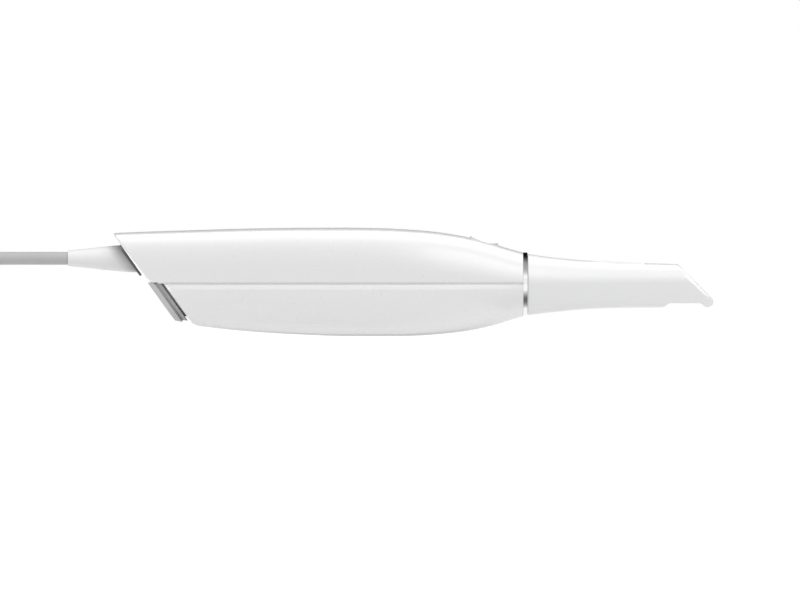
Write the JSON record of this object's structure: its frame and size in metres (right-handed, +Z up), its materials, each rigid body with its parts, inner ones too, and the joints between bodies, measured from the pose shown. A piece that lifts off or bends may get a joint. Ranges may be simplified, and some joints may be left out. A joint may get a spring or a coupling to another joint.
{
  "type": "intraoral scanner",
  "caption": "Pen-style intraoral scanner: white two-part handle with a metal band, pull-off mirror tip, round button, slanted rear end with vent cap, and a cable wound into a hank.",
  "frame": {"origin": "under the middle of the wand's length, on the surface that its belly rests on", "axes": "+X along the wand towards the scanner tip, +Y across it, +Z up; the imaging window looks down"},
  "size_m": [0.5472, 0.0506, 0.046],
  "materials": {
    "shell_white": "satin white moulded plastic",
    "gasket_grey": "grey moulded elastomer",
    "band_chrome": "polished metal",
    "contact_gold": "gold plated",
    "tube_black": "black anodised",
    "seal_rubber": "black rubber",
    "clear_glass": "coated optical glass",
    "pattern_glass": "glass disc with a fine chrome grid",
    "bench_aluminium": "machined",
    "screw_steel": "stainless steel",
    "rail_steel": "ground steel",
    "magnet_nickel": "nickel plated",
    "carriage_black": "glass filled nylon",
    "coil_copper": "enamelled copper wire",
    "weight_brass": "turned brass",
    "board_green": "solder mask over glass fibre board",
    "board_white": "white board with a lamp chip",
    "sensor_dark": "image sensor under its cover glass",
    "chip_black": "moulded chip package",
    "sink_black": "black anodised",
    "connector_white": "nylon",
    "fan_black": "moulded plastic",
    "cap_grey": "fine grained light grey plastic",
    "vent_grey": "fine grained mid grey plastic",
    "collar_dark": "dark grey rubber",
    "boot_white": "white elastomer",
    "cable_grey": "light grey cable jacket",
    "light_ring": "translucent light guide",
    "button_white": "satin white",
    "tip_white": "autoclavable white polymer",
    "mirror_glass": "front surface mirror",
    "plug_black": "grey overmould",
    "plug_insert": "white insulator",
    "tie_fabric": "hook and loop strap"
  },
  "bodies": {
    "handle": {"beam_splitter": "clear_glass", "bench_screws": "screw_steel", "board_screws": "screw_steel", "board_standoffs": "weight_brass", "button_board": "board_green", "button_light_ring": "light_ring", "cable": "cable_grey", "cable_boot": "boot_white", "cable_clamp": "carriage_black", "cable_collar": "collar_dark", "cable_connector": "connector_white", "cable_hank": "cable_grey", "cable_tail": "cable_grey", "camera_board": "board_green", "camera_lens": "clear_glass", "camera_mount": "tube_black", "cap_screws": "screw_steel", "condenser_lens": "clear_glass", "fan_frame": "fan_black", "focus_rails": "rail_steel", "front_lens": "clear_glass", "front_tube": "tube_black", "front_window": "clear_glass", "hank_tie": "tie_fabric", "heater_pins": "contact_gold", "image_sensor": "sensor_dark", "inner_cable": "cable_grey", "lamp_board": "board_white", "lamp_heat_sink": "bench_aluminium", "lamp_housing": "tube_black", "lens_spacer": "tube_black", "lower_shell": "shell_white", "magnet_bar": "magnet_nickel", "main_board": "board_green", "metal_band": "band_chrome", "optical_bench": "bench_aluminium", "pattern_disc": "pattern_glass", "plug_body": "plug_black", "plug_shell": "screw_steel", "plug_tongue": "plug_insert", "power_board": "board_green", "processor": "chip_black", "processor_heat_sink": "sink_black", "rear_cap": "cap_grey", "rear_lens": "clear_glass", "seam_gasket": "gasket_grey", "tube_seal": "seal_rubber", "upper_shell": "shell_white", "vent_frame": "vent_grey", "window_retainer": "tube_black"},
    "tip": {"tip_sleeve": "tip_white", "tip_end_cover": "tip_white", "tip_mirror": "mirror_glass", "tip_contacts": "contact_gold"},
    "button": {"scan_button": "button_white"},
    "carriage": {"focus_carriage": "carriage_black", "focus_lens": "clear_glass", "focus_coil": "coil_copper"},
    "counter_slider": {"counterweight": "weight_brass"},
    "fan": {"fan_rotor": "fan_black"}
  },
  "joints": [
    {"name": "tip_pull", "type": "slide", "parent": "handle", "child": "tip", "axis": [1, 0, 0], "range_m": [0, 0.04]},
    {"name": "button_press", "type": "slide", "parent": "handle", "child": "button", "axis": [-0.2672, 0, -0.9636], "range_m": [0, 0.0006], "stiffness_N_per_m": 1500, "springref_m": -0.0001},
    {"name": "focus_slide", "type": "slide", "parent": "handle", "child": "carriage", "axis": [1, 0, 0], "range_m": [-0.0025, 0.0025]},
    {"name": "counter_slide", "type": "slide", "parent": "handle", "child": "counter_slider", "axis": [1, 0, 0], "range_m": [-0.0025, 0.0025]},
    {"name": "fan_spin", "type": "hinge", "parent": "handle", "child": "fan", "pos_m": [-0.09033, 0, 0.01946], "axis": [-0.8141, 0, -0.5807], "continuous": true}
  ],
  "couplings": [
    {"joint": "counter_slide", "follows": "focus_slide", "ratio": -1}
  ]
}
